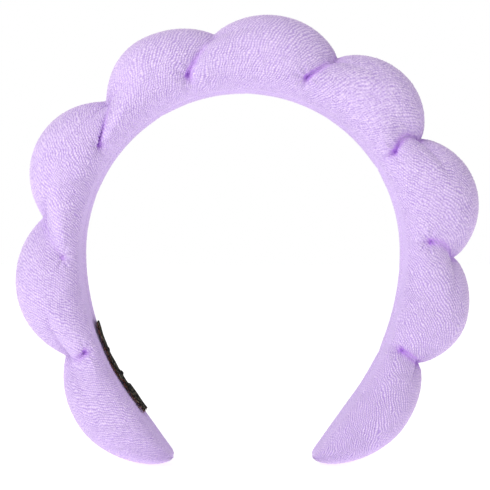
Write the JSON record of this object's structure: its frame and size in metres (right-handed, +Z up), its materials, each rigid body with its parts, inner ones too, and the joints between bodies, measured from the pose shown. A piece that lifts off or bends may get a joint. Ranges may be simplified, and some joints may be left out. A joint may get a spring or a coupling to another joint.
{
  "type": "puffy spa headband",
  "caption": "Puffy terry cloth spa headband: a soft scalloped tube of foam puffs on a springy open hoop, with a woven label inside one tip.",
  "frame": {"origin": "centre of the crown's inner semicircle, halfway through the band's depth", "axes": "+Z up with the crown on top and the two tips hanging down, +X to the wearer's left, +Y towards the back along the grip's axis"},
  "size_m": [0.1806, 0.04, 0.1753],
  "materials": {
    "terry": "looped pile",
    "foam": "open cell",
    "hoop_plastic": "satin",
    "thread": "spun thread",
    "label_weave": "tight weave"
  },
  "bodies": {
    "crown": {"cover_crown": "terry", "foam_crown": "foam", "hoop_crown": "hoop_plastic", "seam_stitches_crown": "thread", "tuft_loop_left_upper": "thread", "tuft_loop_right_upper": "thread"},
    "left_upper": {"cover_left_upper": "terry", "foam_left_upper": "foam", "hoop_left_upper": "hoop_plastic", "seam_stitches_left_upper": "thread", "tuft_loop_left_side": "thread"},
    "left_side": {"cover_left_side": "terry", "foam_left_side": "foam", "hoop_left_side": "hoop_plastic", "seam_stitches_left_side": "thread", "tuft_loop_left_lower": "thread"},
    "left_lower": {"cover_left_lower": "terry", "foam_left_lower": "foam", "hoop_left_lower": "hoop_plastic", "seam_stitches_left_lower": "thread", "tuft_loop_left_tip": "thread"},
    "left_tip": {"cover_left_tip": "terry", "foam_left_tip": "foam", "hoop_left_tip": "hoop_plastic", "seam_stitches_left_tip": "thread", "tip_closure_stitches_left": "thread", "label_sewn": "label_weave", "label_stitches": "thread"},
    "right_upper": {"cover_right_upper": "terry", "foam_right_upper": "foam", "hoop_right_upper": "hoop_plastic", "seam_stitches_right_upper": "thread", "tuft_loop_right_side": "thread"},
    "right_side": {"cover_right_side": "terry", "foam_right_side": "foam", "hoop_right_side": "hoop_plastic", "seam_stitches_right_side": "thread", "tuft_loop_right_lower": "thread"},
    "right_lower": {"cover_right_lower": "terry", "foam_right_lower": "foam", "hoop_right_lower": "hoop_plastic", "seam_stitches_right_lower": "thread", "tuft_loop_right_tip": "thread"},
    "right_tip": {"cover_right_tip": "terry", "foam_right_tip": "foam", "hoop_right_tip": "hoop_plastic", "seam_stitches_right_tip": "thread", "tip_closure_stitches_right": "thread"},
    "label_flap": {"label_flap": "label_weave"}
  },
  "joints": [
    {"name": "left_upper_flex", "type": "hinge", "parent": "crown", "child": "left_upper", "pos_m": [-0.00893, 0, 0.06691], "axis": [0, 1, 0], "range_deg": [-4, 9], "stiffness_Nm_per_rad": 0.6},
    {"name": "left_side_flex", "type": "hinge", "parent": "left_upper", "child": "left_side", "pos_m": [-0.04569, 0, 0.04969], "axis": [0, 1, 0], "range_deg": [-3.7, 8.1], "stiffness_Nm_per_rad": 0.6},
    {"name": "left_lower_flex", "type": "hinge", "parent": "left_side", "child": "left_lower", "pos_m": [-0.06661, 0, 0.01091], "axis": [0, 1, 0], "range_deg": [-2.6, 5.7], "stiffness_Nm_per_rad": 0.6},
    {"name": "left_tip_flex", "type": "hinge", "parent": "left_lower", "child": "left_tip", "pos_m": [-0.06028, 0, -0.03751], "axis": [0, 1, 0], "range_deg": [-1.3, 2.8], "stiffness_Nm_per_rad": 0.6},
    {"name": "right_upper_flex", "type": "hinge", "parent": "crown", "child": "right_upper", "pos_m": [0.0298, 0, 0.06056], "axis": [0, -1, 0], "range_deg": [-4, 9], "stiffness_Nm_per_rad": 0.6},
    {"name": "right_side_flex", "type": "hinge", "parent": "right_upper", "child": "right_side", "pos_m": [0.05724, 0, 0.03577], "axis": [0, -1, 0], "range_deg": [-3.7, 8.1], "stiffness_Nm_per_rad": 0.6},
    {"name": "right_lower_flex", "type": "hinge", "parent": "right_side", "child": "right_lower", "pos_m": [0.06747, 0, -0.00247], "axis": [0, -1, 0], "range_deg": [-2.6, 5.7], "stiffness_Nm_per_rad": 0.6},
    {"name": "right_tip_flex", "type": "hinge", "parent": "right_lower", "child": "right_tip", "pos_m": [0.05926, 0, -0.03995], "axis": [0, -1, 0], "range_deg": [-1.3, 2.8], "stiffness_Nm_per_rad": 0.6},
    {"name": "label_flap_bend", "type": "hinge", "parent": "left_tip", "child": "label_flap", "pos_m": [-0.04702, 0, -0.05012], "axis": [0, -1, 0], "range_deg": [-4, 70], "stiffness_Nm_per_rad": 0.00002}
  ],
  "couplings": [
    {"joint": "left_side_flex", "follows": "left_upper_flex", "ratio": 0.887},
    {"joint": "left_lower_flex", "follows": "left_upper_flex", "ratio": 0.625},
    {"joint": "left_tip_flex", "follows": "left_upper_flex", "ratio": 0.297},
    {"joint": "right_side_flex", "follows": "right_upper_flex", "ratio": 0.826},
    {"joint": "right_lower_flex", "follows": "right_upper_flex", "ratio": 0.557},
    {"joint": "right_tip_flex", "follows": "right_upper_flex", "ratio": 0.29}
  ]
}
